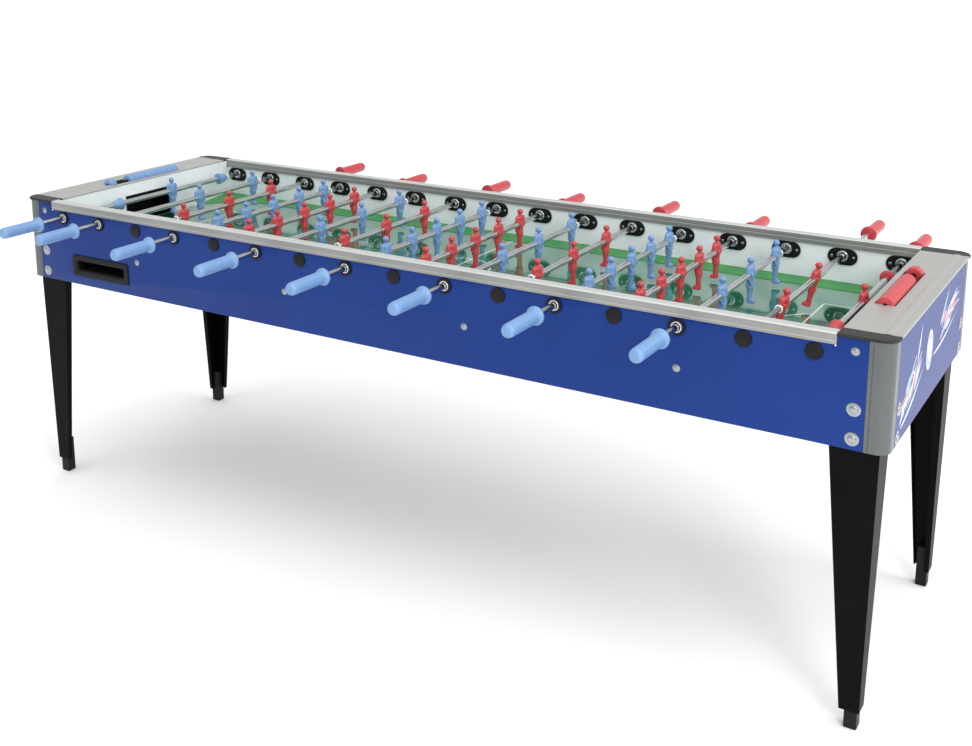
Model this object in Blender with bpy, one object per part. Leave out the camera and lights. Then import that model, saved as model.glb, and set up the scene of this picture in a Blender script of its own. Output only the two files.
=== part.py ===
"""Foosball table with sixteen telescopic rods and eight handles a side.

The cabinet is modelled about its own centre: +X is the red goal end, -Y the side of the blue handles.
Everything is made once, for the front side or the red goal end, and turned half round about Z for the other,
because the whole table has that symmetry. Units are metres, +Z up, feet on Z = 0.
"""

import math

import bmesh
import bpy
from mathutils import Matrix, Vector

# ---------------------------------------------------------------- driving dimensions
CABINET_Y = -0.075          # the handles reach further out at the back, so the cabinet sits off the origin
GAP = 0.0003                # between neighbours that touch

HALF_LENGTH = 1.285         # cabinet, outside the end panels
HALF_WIDTH = 0.395          # cabinet, outside the side panels
BOARD = 0.018               # thickness of every panel
PANEL_BOTTOM = 0.654
RAIL_BOTTOM = 0.875
TOP = 0.900                 # top of the rails, the corner caps and the end tops
TOP_PLATE = 0.005           # thickness of the end tops
RAIL_INNER_Y = 0.370
TRIM_OUT = 0.005            # rails, caps and end tops stand this far out over the panels

CAP_DEPTH = 0.040           # how far a corner cap reaches in over the end
CAP_LIP = 0.0012            # how far its edge hangs below its plate
POST_WIDTH = 0.050          # corner post, along either panel
POST_RADIUS = 0.030

GOAL_WALL_X = 1.170         # face of the end wall that the ball hits
GOAL_BOARD = 0.014          # thickness of that wall
GOAL_HALF_WIDTH = 0.100
GOAL_TOP = 0.853
GLASS_TOP = 0.768
GLASS_THICK = 0.012
RAMP_WIDTH = 0.033          # sloped strip along the side walls
RAMP_RISE = 0.013
CORNER_RAMP = 0.150

ROD_PITCH = 0.150
ROD_COUNT = 16
ROD_Z = 0.852
TUBE_R = 0.008
BORE_R = 0.0066
INNER_R = 0.006
TUBE_SIDES = 10
BEARING_R = 0.0088          # hole that a tube passes through
FLANGE_R = 0.020
PLATE_LENGTH = 0.078        # bearing plate on the inside of the wall
PLATE_HEIGHT = 0.044
PLATE_THICK = 0.004
INNER_ROD_TIP = -0.208      # free end of an inner rod whose wall is at +Y
TUBE_END = 0.030            # from the outermost man to the open end of the tube

HANDLE_LENGTH = 0.135
HANDLE_FLANGE_R = 0.0225
HANDLE_R = 0.0165
HANDLE_CLEAR = 0.435        # flange of a handle pushed right in, from the cabinet's centre line

CUP_X = 0.980               # ball return cup, from the centre
CUP_WIDTH = 0.232
CUP_BOTTOM = 0.682
CUP_TOP = 0.746
CUP_RIM = 0.020
CUP_DEPTH = 0.048
TRAY_BOTTOM = 0.694
TRAY_TOP = 0.722

COUNTER_X = 1.2065
COUNTER_Z = 0.896
COUNTER_R = 0.0205
COUNTER_ROD_R = 0.005
COUNTER_BORE_R = 0.006
BEAD = 0.024                # length of one scoring ring
BEADS_TOGETHER = 9
SLOT_START = -0.155
SLOT_END = 0.145
SLOT_HALF_WIDTH = 0.0225

LEG_TOP = 0.752
LEG_BOTTOM = 0.046
LEG_WIDE_X = 0.115
LEG_WIDE_Y = 0.088
LEG_NARROW_X = 0.044
LEG_NARROW_Y = 0.040
LEG_LIP_TOP = 0.026
LEG_LIP_BOTTOM = 0.012
LEG_SHEET = 0.0035
LEG_LEAN = 0.009            # the outer corner moves in by this much from top to bottom
FOOT_WIDTH = 0.028
FOOT_TOP = 0.110

# offset of each man from the middle of his rod, how far the rod can slide either way,
# and where the outermost thing on the rod is
ROD_KINDS = {
    "goalie": {"men": [0.0], "travel": 0.105, "outermost": 0.232},
    "two": {"men": [-0.127, 0.127], "travel": 0.205, "outermost": 0.127},
    "three": {"men": [-0.200, 0.0, 0.200], "travel": 0.135, "outermost": 0.200},
    "five": {"men": [-0.250, -0.125, 0.0, 0.125, 0.250], "travel": 0.085, "outermost": 0.250},
}
COLLAR_AT = 0.225           # stop collars of the goalkeeper's rod
COLLAR_R = 0.019
# kinds of the rods of one team, counted from its own goal; its rods stand at these places in the row
TEAM_KINDS = ["goalie", "two", "five", "three", "five", "three", "five", "three"]
TEAM_PLACES = [1, 2, 4, 6, 8, 10, 12, 14]
BLUE_PUSHED_IN = 0.050      # the blue rods rest this far short of right in
LEANING_ROD = 15            # the men of this rod are kicked a little forward
LEAN = math.radians(12)

COLOURS = {
    "blue_laminate": ((0.017, 0.050, 0.290), 0.35, 0.0),
    "aluminium": ((0.560, 0.560, 0.540), 0.32, 1.0),
    "black_plastic": ((0.018, 0.018, 0.020), 0.45, 0.0),
    "black_steel": ((0.010, 0.010, 0.010), 0.38, 0.0),
    "white_board": ((0.800, 0.830, 0.840), 0.35, 0.0),
    "green_glass": ((0.030, 0.260, 0.110), 0.06, 0.0),
    "chrome": ((0.700, 0.710, 0.720), 0.12, 1.0),
    "blue_plastic": ((0.150, 0.290, 0.720), 0.32, 0.0),
    "red_plastic": ((0.620, 0.045, 0.050), 0.32, 0.0),
}


# ---------------------------------------------------------------- shape helpers
def clear_scene():
    for obj in list(bpy.data.objects):
        bpy.data.objects.remove(obj, do_unlink=True)


def material(name):
    found = bpy.data.materials.get(name)
    if found:
        return found
    made = bpy.data.materials.new(name)
    made.use_nodes = True
    colour, roughness, metallic = COLOURS[name]
    shader = made.node_tree.nodes["Principled BSDF"]
    shader.inputs["Base Color"].default_value = (*colour, 1.0)
    shader.inputs["Roughness"].default_value = roughness
    shader.inputs["Metallic"].default_value = metallic
    made.diffuse_color = (*colour, 1.0)
    return made


def new_object(name, bm, parent=None):
    """An object that holds the bmesh, its faces pointing outwards."""
    bmesh.ops.recalc_face_normals(bm, faces=bm.faces)
    mesh = bpy.data.meshes.new(name)
    bm.to_mesh(mesh)
    bm.free()
    obj = bpy.data.objects.new(name, mesh)
    bpy.context.scene.collection.objects.link(obj)
    obj.parent = parent
    return obj


def paint(obj, colour, smooth_angle=None):
    obj.data.materials.clear()
    obj.data.materials.append(material(colour))
    if smooth_angle:
        obj.data.shade_smooth()
        obj.data.set_sharp_from_angle(angle=math.radians(smooth_angle))
    return obj


def put_box(bm, x, y, z):
    """Adds a box to the bmesh; x, y and z are (low, high)."""
    size = Vector((x[1] - x[0], y[1] - y[0], z[1] - z[0]))
    centre = Vector((x[0] + x[1], y[0] + y[1], z[0] + z[1])) / 2
    bmesh.ops.create_cube(bm, size=1.0, matrix=Matrix.Translation(centre) @ Matrix.Diagonal(size).to_4x4())


def put_loft(bm, rings):
    """Joins rings of equally many points into one closed skin, capped at both ends."""
    rows = [[bm.verts.new(point) for point in ring] for ring in rings]
    count = len(rows[0])
    for low, high in zip(rows, rows[1:]):
        for i in range(count):
            j = (i + 1) % count
            bm.faces.new((low[i], low[j], high[j], high[i]))
    bm.faces.new(reversed(rows[0]))
    bm.faces.new(rows[-1])


def put_turned(bm, profile, sides, centre=(0.0, 0.0)):
    """Adds a solid turned about the Y direction; profile is [(y, radius), ...] and centre is (x, z)."""
    rings = []
    for y, radius in profile:
        ring = []
        for i in range(sides):
            angle = 2 * math.pi * (i + 0.5) / sides
            ring.append((centre[0] + radius * math.sin(angle), y, centre[1] + radius * math.cos(angle)))
        rings.append(ring)
    put_loft(bm, rings)


def put_prism(bm, outline, low, high, axis):
    """Extrudes an outline of (a, b) points along an axis: Z takes (x, y), X takes (y, z), Y takes (x, z)."""
    place = {
        "X": lambda a, b, c: (c, a, b),
        "Y": lambda a, b, c: (a, c, b),
        "Z": lambda a, b, c: (a, b, c),
    }[axis]
    put_loft(bm, [[place(a, b, c) for a, b in outline] for c in (low, high)])


def arc(centre, radius, start, end, steps):
    """Points along an arc, angles in degrees."""
    points = []
    for i in range(steps + 1):
        angle = math.radians(start + (end - start) * i / steps)
        points.append((centre[0] + radius * math.cos(angle), centre[1] + radius * math.sin(angle)))
    return points


def bake(obj):
    """Replaces the object's mesh by its evaluated one and drops its modifiers."""
    bpy.context.view_layer.update()
    graph = bpy.context.evaluated_depsgraph_get()
    mesh = bpy.data.meshes.new_from_object(obj.evaluated_get(graph))
    obj.modifiers.clear()
    old = obj.data
    obj.data = mesh
    mesh.name = obj.name
    bpy.data.meshes.remove(old)


def combine(obj, bm, operation):
    """Unites the object with the solids in the bmesh, or cuts them out of it."""
    tool = new_object(f"{obj.name}_tool", bm, obj.parent)
    tool.matrix_basis = obj.matrix_basis
    tool.hide_render = True
    tool.display_type = "WIRE"
    modifier = obj.modifiers.new(operation.title(), "BOOLEAN")
    modifier.operation = operation
    modifier.solver = "EXACT"
    modifier.object = tool
    bake(obj)
    bpy.data.objects.remove(tool, do_unlink=True)


def turned_copy(obj, name, colour=None):
    """The same piece on the other side of the table, half a turn about Z."""
    copy = bpy.data.objects.new(name, obj.data if colour is None else obj.data.copy())
    bpy.context.scene.collection.objects.link(copy)
    copy.parent = obj.parent
    copy.matrix_basis = Matrix.Rotation(math.pi, 4, "Z") @ obj.matrix_basis
    if colour:
        paint(copy, colour, 40)
    return copy


def rod_x(number):
    """Rods are numbered 1 to 16 from the blue goal to the red one."""
    return (number - (ROD_COUNT + 1) / 2) * ROD_PITCH


# ---------------------------------------------------------------- side panels with bearings and return cup
def put_flange(bm, x, passing):
    """Outer flange of a wall bearing; the closed ones are domed caps."""
    face = -HALF_WIDTH
    if passing:
        profile = [(face + 0.002, FLANGE_R), (face - 0.005, FLANGE_R)]
    else:
        profile = [(face + 0.002, FLANGE_R - 0.001), (face - 0.004, FLANGE_R - 0.001), (face - 0.006, 0.016)]
    put_turned(bm, profile, 10, (x, ROD_Z))


def put_plate(bm, x):
    """Bearing plate on the inside of the wall, with half-round ends."""
    inside = -HALF_WIDTH + BOARD
    half = PLATE_HEIGHT / 2
    straight = PLATE_LENGTH / 2 - half
    centre_z = ROD_Z - 0.002
    right = arc((x + straight, centre_z), half, -90, 90, 4)
    left = arc((x - straight, centre_z), half, 90, 270, 4)
    put_prism(bm, right + left, inside - 0.002, inside + PLATE_THICK, "Y")


def side_panel(cabinet):
    half = HALF_LENGTH - POST_WIDTH - GAP
    outside = -HALF_WIDTH
    inside = outside + BOARD
    bm = bmesh.new()
    step, under_rail, under_cap = GOAL_WALL_X + GAP, RAIL_BOTTOM - GAP, TOP - TOP_PLATE - GAP
    outline = [(-half, PANEL_BOTTOM), (half, PANEL_BOTTOM), (half, under_cap), (step, under_cap), (step, under_rail)]
    outline += [(-step, under_rail), (-step, under_cap), (-half, under_cap)]
    put_loft(bm, [[(x, y, z) for x, z in outline] for y in (outside, inside)])
    panel = new_object("front_panel", bm, cabinet)

    fittings = bmesh.new()
    for number in range(1, ROD_COUNT + 1):
        put_flange(fittings, rod_x(number), number in TEAM_PLACES)
        put_plate(fittings, rod_x(number))
    combine(panel, fittings, "UNION")

    cup = bmesh.new()
    low, high = -CUP_X - CUP_WIDTH / 2, -CUP_X + CUP_WIDTH / 2
    put_box(cup, (low, high), (outside - 0.004, outside + 0.002), (CUP_BOTTOM, CUP_TOP))
    combine(panel, cup, "UNION")
    sleeve = bmesh.new()
    wall = CUP_RIM - 0.004
    put_box(
        sleeve,
        (low + wall, high - wall),
        (outside + 0.001, outside + CUP_DEPTH),
        (CUP_BOTTOM + wall, CUP_TOP - wall + 0.004),
    )
    combine(panel, sleeve, "UNION")

    holes = bmesh.new()
    for number in range(1, ROD_COUNT + 1):
        if number in TEAM_PLACES:
            start, radius = outside - 0.02, BEARING_R
        else:
            start, radius = outside - 0.002, BORE_R
        put_turned(holes, [(start, radius), (inside + 0.02, radius)], TUBE_SIDES, (rod_x(number), ROD_Z))
    put_box(
        holes,
        (low + CUP_RIM, high - CUP_RIM),
        (outside - 0.02, outside + CUP_DEPTH + 0.02),
        (CUP_BOTTOM + CUP_RIM, CUP_TOP - CUP_RIM + 0.004),
    )
    combine(panel, holes, "DIFFERENCE")
    return paint(panel, "blue_laminate")


# ---------------------------------------------------------------- ends of the cabinet
def end_panel(cabinet):
    half = HALF_WIDTH - POST_WIDTH - GAP
    bm = bmesh.new()
    put_box(bm, (HALF_LENGTH - BOARD, HALF_LENGTH), (-half, half), (PANEL_BOTTOM, TOP - TOP_PLATE - GAP))
    return paint(new_object("right_end_panel", bm, cabinet), "blue_laminate")


def goal_wall(cabinet):
    """Inner end wall; the ball goes through its mouth and drops behind it."""
    half = HALF_WIDTH - BOARD - GAP
    bm = bmesh.new()
    bottom = GLASS_TOP - GLASS_THICK
    put_box(bm, (GOAL_WALL_X, GOAL_WALL_X + GOAL_BOARD), (-half, half), (bottom, TOP - TOP_PLATE - GAP))
    wall = new_object("right_goal_wall", bm, cabinet)
    mouth = bmesh.new()
    put_box(
        mouth,
        (GOAL_WALL_X - 0.01, GOAL_WALL_X + GOAL_BOARD + 0.01),
        (-GOAL_HALF_WIDTH, GOAL_HALF_WIDTH),
        (GLASS_TOP - 0.004, GOAL_TOP),
    )
    combine(wall, mouth, "DIFFERENCE")
    return paint(wall, "white_board")


def corner_outline(outer, inner, radius, along_x, along_y, steps):
    """Outline of an L round the front red corner: outer faces at (outer x, -outer y), rounded where they meet."""
    x, y = outer
    centre = (x - radius, -y + radius)
    points = [(x - along_x, -y)]
    points += arc(centre, radius, 270, 360, steps)
    points += [(x, -y + along_y), (inner[0], -y + along_y), (inner[0], -inner[1]), (x - along_x, -inner[1])]
    return points


def corner_post(cabinet):
    outer = (HALF_LENGTH, HALF_WIDTH)
    inner = (HALF_LENGTH - BOARD + GAP, HALF_WIDTH - BOARD + GAP)
    outline = corner_outline(outer, inner, POST_RADIUS, POST_WIDTH, POST_WIDTH, 5)
    bm = bmesh.new()
    put_prism(bm, outline, PANEL_BOTTOM, TOP - TOP_PLATE - GAP, "Z")
    return paint(new_object("corner_post_front_right", bm, cabinet), "aluminium", 40)


def corner_cap_layers():
    """Layers of the front corner cap, each (outline, low, high): a lip outside the panel, a plate over it."""
    x_out, y_out = HALF_LENGTH + TRIM_OUT, HALF_WIDTH + TRIM_OUT
    radius = POST_RADIUS + TRIM_OUT
    centre = (x_out - radius, -y_out + radius)
    outer = arc(centre, radius, 360, 270, 5) + [(GOAL_WALL_X, -y_out)]
    inner = [(GOAL_WALL_X, -HALF_WIDTH - GAP)] + arc(centre, POST_RADIUS + GAP, 270, 360, 5)
    inner_y = -HALF_WIDTH + CAP_DEPTH
    lip = [(x_out, inner_y)] + outer + inner + [(HALF_LENGTH + GAP, inner_y)]
    plate = [(x_out, inner_y)] + outer + [(GOAL_WALL_X, inner_y)]
    level = TOP - TOP_PLATE
    return [(lip, level - CAP_LIP, level + 0.001), (plate, level, TOP)]


def end_top(cabinet):
    """Aluminium top of the red end with its two corner caps, the counter's slot and its guide rod."""
    x_in = GOAL_WALL_X + 0.0004
    x_out = HALF_LENGTH + TRIM_OUT - 0.0005
    half = HALF_WIDTH - CAP_DEPTH + 0.004
    ridge = HALF_LENGTH - 0.024
    low = TOP - TOP_PLATE + 0.0004
    high = TOP - 0.0006
    section = [(x_in, low), (x_out, low), (x_out, high), (ridge + 0.008, high), (ridge + 0.004, high + 0.0016)]
    section += [(ridge - 0.004, high + 0.0016), (ridge - 0.008, high), (x_in, high)]
    bm = bmesh.new()
    put_loft(bm, [[(x, y, z) for x, z in section] for y in (-half, half)])
    top = new_object("right_end_top", bm, cabinet)
    for side in (1, -1):
        for outline, bottom, above in corner_cap_layers():
            layer = bmesh.new()
            put_prism(layer, [(x, side * y) for x, y in outline], bottom, above, "Z")
            combine(top, layer, "UNION")

    slot = bmesh.new()
    x_range = (COUNTER_X - SLOT_HALF_WIDTH, COUNTER_X + SLOT_HALF_WIDTH)
    put_box(slot, x_range, (SLOT_START, SLOT_END), (TOP - 0.02, TOP + 0.02))
    combine(top, slot, "DIFFERENCE")

    for start, end in ((SLOT_START - 0.012, SLOT_START - 0.0004), (SLOT_END + 0.0004, SLOT_END + 0.012)):
        lug = bmesh.new()
        put_box(lug, (COUNTER_X - 0.011, COUNTER_X + 0.011), (start, end), (COUNTER_Z - 0.014, TOP - 0.002))
        combine(top, lug, "UNION")
    rod = bmesh.new()
    profile = [(SLOT_START - 0.006, COUNTER_ROD_R), (SLOT_END + 0.006, COUNTER_ROD_R)]
    put_turned(rod, profile, 8, (COUNTER_X, COUNTER_Z))
    combine(top, rod, "UNION")
    return paint(top, "aluminium")


def scoring_rings(cabinet, name, start, count):
    """Rings of a score counter pushed together; each bulges a little in the middle."""
    edge = COUNTER_R - 0.0022
    profile = [(0.0, edge)]
    for ring in range(count):
        profile.append(((ring + 0.5) * BEAD, COUNTER_R))
        profile.append(((ring + 1) * BEAD, edge))
    bm = bmesh.new()
    put_turned(bm, profile, 12)
    rings = new_object(name, bm, cabinet)
    bore = bmesh.new()
    put_turned(bore, [(-0.01, COUNTER_BORE_R), (count * BEAD + 0.01, COUNTER_BORE_R)], 8)
    combine(rings, bore, "DIFFERENCE")
    rings.location = (COUNTER_X, start, COUNTER_Z)
    return paint(rings, "red_plastic", 50)


# ---------------------------------------------------------------- playing surface, tray and rails
def playfield(cabinet):
    x_end = GOAL_WALL_X - GAP
    y_end = HALF_WIDTH - BOARD - GAP
    low = GLASS_TOP - GLASS_THICK
    edge = GLASS_TOP + RAMP_RISE
    section = [(-y_end, low), (y_end, low), (y_end, edge), (y_end - RAMP_WIDTH, GLASS_TOP)]
    section += [(-y_end + RAMP_WIDTH, GLASS_TOP), (-y_end, edge)]
    bm = bmesh.new()
    put_prism(bm, section, -x_end, x_end, "X")
    field = new_object("playfield", bm, cabinet)
    for sign_x in (1, -1):
        for sign_y in (1, -1):
            corner = bmesh.new()
            x, y = sign_x * x_end, sign_y * y_end
            base = [(x, y), (x - sign_x * CORNER_RAMP, y), (x, y - sign_y * CORNER_RAMP)]
            under = [corner.verts.new((a, b, low + 0.003)) for a, b in base]
            over = [corner.verts.new((a, b, GLASS_TOP + 0.0003)) for a, b in base]
            over[0].co.z = edge + 0.002
            corner.faces.new(under)
            corner.faces.new(over)
            for i in range(3):
                j = (i + 1) % 3
                corner.faces.new((under[i], under[j], over[j], over[i]))
            combine(field, corner, "UNION")
    return paint(field, "green_glass")


def ball_tray(cabinet):
    """Tray under the playing surface: catches the ball behind either goal and leads it to the cups."""
    wall = 0.006
    middle_x, middle_y = 1.140, HALF_WIDTH - CUP_DEPTH - 0.002
    end_x, end_y = HALF_LENGTH - BOARD - 0.001, 0.280
    bm = bmesh.new()
    put_box(bm, (-middle_x, middle_x), (-middle_y, middle_y), (TRAY_BOTTOM, TRAY_TOP))
    tray = new_object("ball_tray", bm, cabinet)
    ends = bmesh.new()
    put_box(ends, (-end_x, end_x), (-end_y, end_y), (TRAY_BOTTOM + 0.0004, TRAY_TOP - 0.0004))
    combine(tray, ends, "UNION")
    floor = TRAY_BOTTOM + wall
    for x, y, above in ((middle_x - wall, middle_y - wall, 0.1), (end_x - wall, end_y - wall, 0.11)):
        hollow = bmesh.new()
        put_box(hollow, (-x, x), (-y, y), (floor, TRAY_TOP + above))
        combine(tray, hollow, "DIFFERENCE")
    half = CUP_WIDTH / 2 - CUP_RIM
    for side in (1, -1):
        gate = bmesh.new()
        x = sorted((-side * (CUP_X - half), -side * (CUP_X + half)))
        y = sorted((-side * (middle_y - 0.02), -side * (middle_y + 0.02)))
        put_box(gate, x, y, (floor, TRAY_TOP + 0.12))
        combine(tray, gate, "DIFFERENCE")
    return paint(tray, "black_plastic")


def rail(cabinet):
    """Front rail: rounded outer and inner top edges."""
    y_out, y_in = -HALF_WIDTH - TRIM_OUT, -RAIL_INNER_Y
    bevel = 0.004
    section = [(y_out, RAIL_BOTTOM), (y_in, RAIL_BOTTOM), (y_in, TOP - bevel), (y_in - bevel, TOP)]
    section += [(y_out + bevel, TOP), (y_out, TOP - bevel)]
    bm = bmesh.new()
    put_prism(bm, section, -GOAL_WALL_X + GAP, GOAL_WALL_X - GAP, "X")
    return paint(new_object("front_rail", bm, cabinet), "aluminium", 50)


# ---------------------------------------------------------------- legs and feet
def leg_outline(z):
    """Section of the folded leg at height z, for the front red corner: two wide sides, each with a lip."""
    t = (z - LEG_BOTTOM) / (LEG_TOP - LEG_BOTTOM)
    wide_x = LEG_NARROW_X + t * (LEG_WIDE_X - LEG_NARROW_X)
    wide_y = LEG_NARROW_Y + t * (LEG_WIDE_Y - LEG_NARROW_Y)
    lip = LEG_LIP_BOTTOM + t * (LEG_LIP_TOP - LEG_LIP_BOTTOM)
    s = LEG_SHEET
    inward = [(wide_x, lip), (wide_x, 0), (0, 0), (0, wide_y), (lip, wide_y)]
    inward += [(lip, wide_y - s), (s, wide_y - s), (s, s), (wide_x - s, s), (wide_x - s, lip)]
    x_out = HALF_LENGTH - BOARD - 0.0006 - (1 - t) * LEG_LEAN
    y_out = -HALF_WIDTH + BOARD + 0.0006 + (1 - t) * LEG_LEAN
    return [(x_out - a, y_out + b, z) for a, b in inward]


def leg(cabinet):
    bm = bmesh.new()
    put_loft(bm, [leg_outline(LEG_BOTTOM), leg_outline(LEG_TOP)])
    return paint(new_object("leg_front_right", bm, cabinet), "black_steel")


def foot(cabinet):
    """Square plug in the open end of a leg; it screws out to level the table."""
    corner_x, corner_y, _ = leg_outline(LEG_BOTTOM)[2]
    inset = LEG_SHEET + 0.0015
    x = (corner_x - inset - FOOT_WIDTH, corner_x - inset)
    y = (corner_y + inset, corner_y + inset + FOOT_WIDTH)
    middle = Vector(((x[0] + x[1]) / 2, (y[0] + y[1]) / 2, 0))
    bm = bmesh.new()
    half = FOOT_WIDTH / 2
    chamfer = 0.003
    rings = []
    for z, width in ((0.0, half - chamfer), (chamfer, half), (FOOT_TOP, half)):
        rings.append([(-width, -width, z), (width, -width, z), (width, width, z), (-width, width, z)])
    put_loft(bm, rings)
    obj = new_object("foot_front_right", bm, cabinet)
    obj.location = middle
    return paint(obj, "black_plastic")


# ---------------------------------------------------------------- rods
def put_man(bm, along):
    """One player, facing +X, with the rod through his chest; along is his place on the rod."""
    levels = [
        # z, half width along the rod, half depth, how far forward
        (-0.0740, 0.0070, 0.0105, 0.0040),
        (-0.0600, 0.0072, 0.0095, 0.0025),
        (-0.0360, 0.0090, 0.0080, 0.0000),
        (-0.0140, 0.0140, 0.0112, 0.0000),
        (0.0170, 0.0185, 0.0112, 0.0000),
        (0.0255, 0.0070, 0.0060, 0.0000),
        (0.0350, 0.0100, 0.0105, 0.0005),
        (0.0440, 0.0060, 0.0065, 0.0005),
    ]
    rings = []
    for z, wide, deep, forward in levels:
        ring = [(forward, along - wide), (forward + deep, along - 0.55 * wide), (forward + deep, along + 0.55 * wide)]
        ring += [(forward, along + wide), (forward - deep, along + 0.55 * wide), (forward - deep, along - 0.55 * wide)]
        rings.append([(x, y, z) for x, y in ring])
    put_loft(bm, rings)


def team_rod(kind, name, colour):
    """Outer tube with its men and its handle, along Y with the handle at -Y, its middle man at the origin."""
    facts = ROD_KINDS[kind]
    flange = -(HANDLE_CLEAR + facts["travel"])
    tube_end = facts["outermost"] + TUBE_END
    bm = bmesh.new()
    put_turned(bm, [(flange - 0.05, TUBE_R), (tube_end, TUBE_R)], TUBE_SIDES)
    rod = new_object(name, bm)

    handle = bmesh.new()
    tip = flange - HANDLE_LENGTH
    profile = [(flange, HANDLE_FLANGE_R), (flange - 0.008, HANDLE_FLANGE_R), (flange - 0.012, HANDLE_R)]
    profile += [(tip + 0.006, HANDLE_R), (tip, HANDLE_R - 0.005)]
    put_turned(handle, profile, 10)
    combine(rod, handle, "UNION")

    men = bmesh.new()
    for along in facts["men"]:
        put_man(men, along)
    if kind == "goalie":
        for side in (-1, 1):
            at = side * COLLAR_AT
            collar = [(at - side * 0.004, COLLAR_R), (at + side * 0.004, COLLAR_R), (at + side * 0.030, 0.0115)]
            put_turned(men, sorted(collar), 10)
    combine(rod, men, "UNION")

    bore = bmesh.new()
    put_turned(bore, [(flange - 0.09, BORE_R), (tube_end + 0.01, BORE_R)], TUBE_SIDES)
    combine(rod, bore, "DIFFERENCE")
    return paint(rod, colour, 40)


def place_rods(cabinet):
    """Sixteen inner rods, each turning in its wall, and sixteen outer tubes, each sliding on its inner rod."""
    inner = bmesh.new()
    wall_end = HALF_WIDTH + 0.0012
    put_turned(inner, [(INNER_ROD_TIP, INNER_R), (wall_end, INNER_R)], TUBE_SIDES)
    pattern = paint(new_object("inner_pattern", inner), "chrome", 40)
    meshes = {}
    for team, colour in (("blue", "blue_plastic"), ("red", "red_plastic")):
        for kind, place in zip(TEAM_KINDS, TEAM_PLACES):
            number = place if team == "blue" else ROD_COUNT + 1 - place
            turn = 0.0 if team == "blue" else math.pi
            facts = ROD_KINDS[kind]
            hinge = bpy.data.objects.new(f"hinge_{number:02d}", None)
            bpy.context.scene.collection.objects.link(hinge)
            hinge.parent = cabinet
            hinge.location = (rod_x(number), 0.0, ROD_Z)
            hinge.rotation_euler = (0.0, 0.0, turn)

            inner_rod = bpy.data.objects.new(f"inner_rod_{number:02d}", pattern.data)
            bpy.context.scene.collection.objects.link(inner_rod)
            inner_rod.parent = hinge

            if (kind, team) not in meshes:
                meshes[kind, team] = team_rod(kind, f"{team}_{kind}", colour)
            rod = bpy.data.objects.new(f"{team}_rod_{number:02d}", meshes[kind, team].data)
            bpy.context.scene.collection.objects.link(rod)
            rod.parent = hinge
            pushed = facts["travel"] - BLUE_PUSHED_IN if team == "blue" else 0.0
            rod.location = (0.0, pushed, 0.0)
            if number == LEANING_ROD:
                rod.rotation_euler = (0.0, -LEAN, 0.0)
    for obj in [pattern] + list(meshes.values()):
        bpy.data.objects.remove(obj, do_unlink=True)


# ---------------------------------------------------------------- the whole table
def build():
    clear_scene()
    cabinet = bpy.data.objects.new("cabinet", None)
    bpy.context.scene.collection.objects.link(cabinet)
    cabinet.location = (0.0, CABINET_Y, 0.0)

    turned_copy(side_panel(cabinet), "back_panel")
    turned_copy(rail(cabinet), "back_rail")
    turned_copy(end_panel(cabinet), "left_end_panel")
    turned_copy(goal_wall(cabinet), "left_goal_wall")
    turned_copy(end_top(cabinet), "left_end_top")

    bar = scoring_rings(cabinet, "right_score_rings", SLOT_START + 0.001, BEADS_TOGETHER)
    turned_copy(bar, "left_score_rings", "blue_plastic")
    single = scoring_rings(cabinet, "right_score_ring_single", SLOT_END - 0.001 - BEAD, 1)
    turned_copy(single, "left_score_ring_single", "blue_plastic")

    playfield(cabinet)
    ball_tray(cabinet)

    for piece in (corner_post(cabinet), leg(cabinet), foot(cabinet)):
        kind = piece.name.split("_front_right")[0]
        turned_copy(piece, f"{kind}_back_left")
        mirrored = bpy.data.objects.new(f"{kind}_back_right", piece.data.copy())
        bpy.context.scene.collection.objects.link(mirrored)
        mirrored.parent = cabinet
        mirrored.data.transform(Matrix.Scale(-1.0, 4, (0.0, 1.0, 0.0)))
        mirrored.data.flip_normals()
        mirrored.location = (piece.location.x, -piece.location.y, piece.location.z)
        turned_copy(mirrored, f"{kind}_front_left")

    place_rods(cabinet)


build()
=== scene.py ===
"""Looks of the foosball table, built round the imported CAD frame.

Pieces are modelled about the cabinet's own centre, as the CAD is: +X is the red goal end and -Y the side of
the blue handles. What belongs to one side or one end is made once and turned half round for the other.
"""

import math
import random
from functools import reduce

import bmesh
import bpy
from mathutils import Matrix, Vector


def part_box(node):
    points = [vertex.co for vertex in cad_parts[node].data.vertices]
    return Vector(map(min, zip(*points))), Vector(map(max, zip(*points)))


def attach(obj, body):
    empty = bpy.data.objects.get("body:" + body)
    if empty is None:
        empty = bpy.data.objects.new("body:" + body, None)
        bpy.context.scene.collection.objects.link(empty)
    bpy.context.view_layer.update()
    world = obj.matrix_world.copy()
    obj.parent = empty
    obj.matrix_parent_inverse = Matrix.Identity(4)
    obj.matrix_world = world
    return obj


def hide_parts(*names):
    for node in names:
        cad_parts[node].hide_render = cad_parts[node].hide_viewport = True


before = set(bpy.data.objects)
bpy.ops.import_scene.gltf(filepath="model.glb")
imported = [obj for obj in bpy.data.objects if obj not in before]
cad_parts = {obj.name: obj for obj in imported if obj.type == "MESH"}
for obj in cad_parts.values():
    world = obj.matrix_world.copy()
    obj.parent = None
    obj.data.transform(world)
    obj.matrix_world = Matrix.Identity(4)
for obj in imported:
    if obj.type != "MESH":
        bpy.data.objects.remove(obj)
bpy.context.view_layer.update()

# ---------------------------------------------------------------- dimensions that the CAD has too
GAP = 0.0003  # between neighbouring boards and plates
low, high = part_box("playfield")
CABINET_Y = (low.y + high.y) / 2
GOAL_WALL_X = high.x + GAP
GLASS_TOP = 0.768
GLASS_BOTTOM = low.z
HALF_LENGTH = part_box("right_end_panel")[1].x
HALF_WIDTH = 0.395
BOARD = 0.018
PANEL_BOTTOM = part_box("front_panel")[0].z
RAIL_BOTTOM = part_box("front_rail")[0].z
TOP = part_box("front_rail")[1].z
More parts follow.
